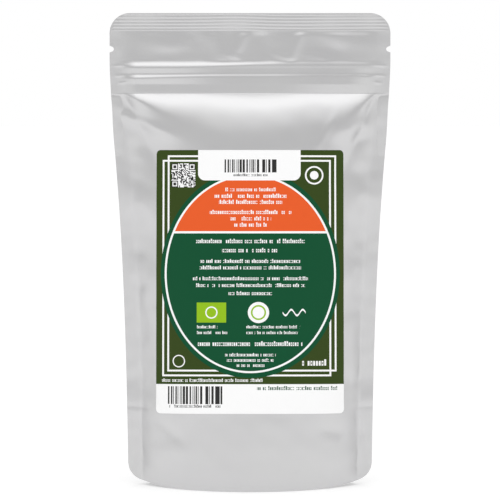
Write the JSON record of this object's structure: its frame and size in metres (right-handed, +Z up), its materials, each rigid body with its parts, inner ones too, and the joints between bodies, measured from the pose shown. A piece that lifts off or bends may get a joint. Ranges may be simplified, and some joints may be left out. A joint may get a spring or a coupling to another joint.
{
  "type": "stand-up zip pouch",
  "caption": "Foil laminate stand-up pouch with a rounded, folded base, a press-to-close zip under a sealed header, a printed label on one side and a fill of cut dried herbs.",
  "frame": {"origin": "on the floor, under the middle of the pouch's base", "axes": "+Z up along the pouch's height, +X across its width to the right as the label is read, -Y out of the labelled side"},
  "size_m": [0.16, 0.0648, 0.2701],
  "materials": {
    "foil_laminate": "satin",
    "zip_plastic": "satin",
    "printed_label": "satin",
    "dried_chives": "matte"
  },
  "bodies": {
    "root": {"label_panel": "foil_laminate", "plain_panel": "foil_laminate", "base_gusset": "foil_laminate", "zip_rib_strip": "zip_plastic", "zip_channel_strip": "zip_plastic", "label": "printed_label", "chive_fill": "dried_chives"}
  },
  "joints": []
}
